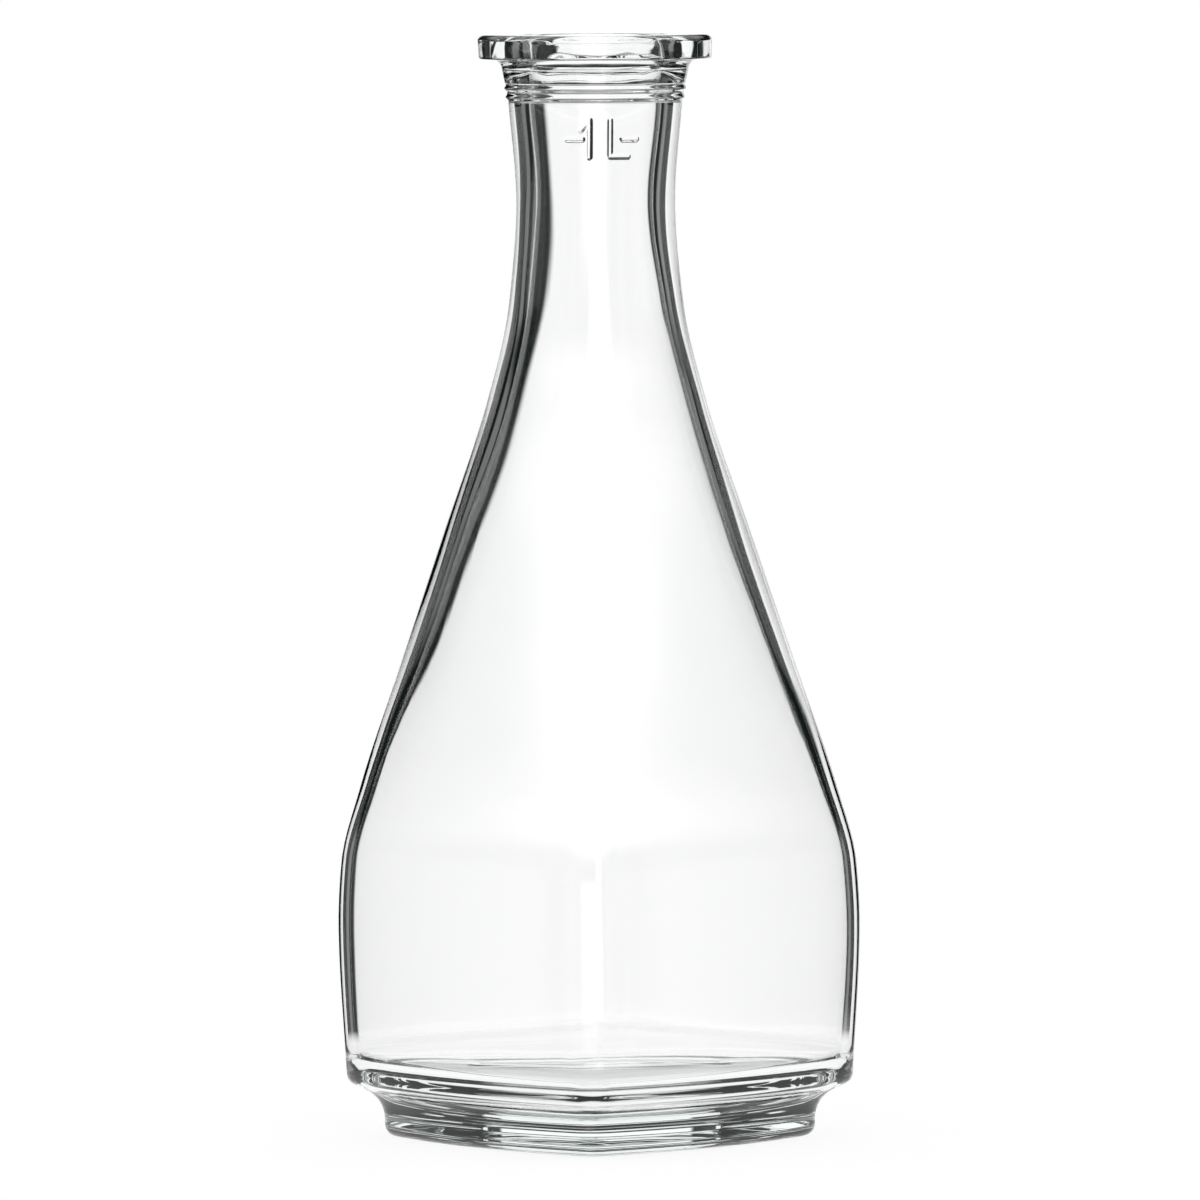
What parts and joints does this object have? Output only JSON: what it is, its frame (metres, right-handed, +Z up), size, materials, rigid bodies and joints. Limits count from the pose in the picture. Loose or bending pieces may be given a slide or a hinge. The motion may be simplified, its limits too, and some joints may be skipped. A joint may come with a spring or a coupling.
{
  "type": "carafe",
  "caption": "Clear glass serving carafe: bowed square body on a stepped foot, tapering to a round neck with a ringed collar and flanged lip, and open at the mouth for pouring.",
  "frame": {"origin": "centre of the flat rim that the carafe stands on", "axes": "+Z up along the neck; the body's flat sides face along X and Y, so its corners lie on the diagonals"},
  "size_m": [0.1058, 0.1058, 0.265],
  "materials": {
    "glass": "clear, fire-polished soda-lime glass"
  },
  "bodies": {
    "root": {"foot": "glass", "heel": "glass", "body": "glass", "shoulder": "glass", "neck": "glass", "collar": "glass", "lip": "glass"}
  },
  "joints": []
}
